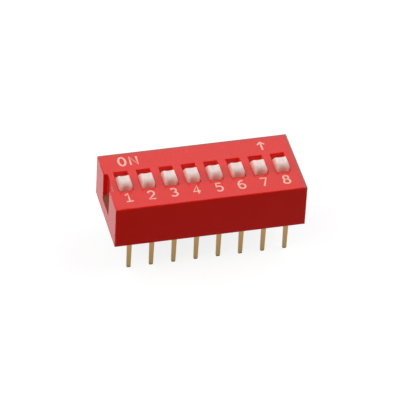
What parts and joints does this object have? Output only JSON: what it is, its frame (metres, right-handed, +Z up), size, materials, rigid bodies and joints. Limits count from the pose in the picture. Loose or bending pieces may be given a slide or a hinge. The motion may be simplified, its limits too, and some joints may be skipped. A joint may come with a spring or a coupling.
{
  "type": "dip switch",
  "caption": "Slide-type DIP switch: red box housing, row of white slides in slots on top, two straight rows of gold pins below.",
  "frame": {"origin": "middle of the body's plan, on the plane of the pin tips", "axes": "+X along the row of switches, from position 1 to the last, +Y towards the ON side, +Z up, out of the face with the slides"},
  "size_m": [0.0216, 0.0096, 0.01],
  "materials": {
    "cover": "moulded, satin",
    "base": "moulded, satin",
    "actuator": "moulded, satin",
    "contact": "gold plated strip",
    "terminal": "gold plated strip"
  },
  "bodies": {
    "housing": {"cover": "cover", "base": "base", "front_terminal_1": "terminal", "front_terminal_2": "terminal", "front_terminal_3": "terminal", "front_terminal_4": "terminal", "front_terminal_5": "terminal", "front_terminal_6": "terminal", "front_terminal_7": "terminal", "front_terminal_8": "terminal", "rear_terminal_1": "terminal", "rear_terminal_2": "terminal", "rear_terminal_3": "terminal", "rear_terminal_4": "terminal", "rear_terminal_5": "terminal", "rear_terminal_6": "terminal", "rear_terminal_7": "terminal", "rear_terminal_8": "terminal"},
    "slide_1": {"actuator_1": "actuator", "contact_spring_1": "contact"},
    "slide_2": {"actuator_2": "actuator", "contact_spring_2": "contact"},
    "slide_3": {"actuator_3": "actuator", "contact_spring_3": "contact"},
    "slide_4": {"actuator_4": "actuator", "contact_spring_4": "contact"},
    "slide_5": {"actuator_5": "actuator", "contact_spring_5": "contact"},
    "slide_6": {"actuator_6": "actuator", "contact_spring_6": "contact"},
    "slide_7": {"actuator_7": "actuator", "contact_spring_7": "contact"},
    "slide_8": {"actuator_8": "actuator", "contact_spring_8": "contact"}
  },
  "joints": [
    {"name": "switch_1", "type": "slide", "parent": "housing", "child": "slide_1", "axis": [0, 1, 0], "range_m": [0, 0.001]},
    {"name": "switch_2", "type": "slide", "parent": "housing", "child": "slide_2", "axis": [0, 1, 0], "range_m": [0, 0.001]},
    {"name": "switch_3", "type": "slide", "parent": "housing", "child": "slide_3", "axis": [0, 1, 0], "range_m": [0, 0.001]},
    {"name": "switch_4", "type": "slide", "parent": "housing", "child": "slide_4", "axis": [0, 1, 0], "range_m": [0, 0.001]},
    {"name": "switch_5", "type": "slide", "parent": "housing", "child": "slide_5", "axis": [0, 1, 0], "range_m": [0, 0.001]},
    {"name": "switch_6", "type": "slide", "parent": "housing", "child": "slide_6", "axis": [0, 1, 0], "range_m": [0, 0.001]},
    {"name": "switch_7", "type": "slide", "parent": "housing", "child": "slide_7", "axis": [0, 1, 0], "range_m": [0, 0.001]},
    {"name": "switch_8", "type": "slide", "parent": "housing", "child": "slide_8", "axis": [0, 1, 0], "range_m": [0, 0.001]}
  ]
}
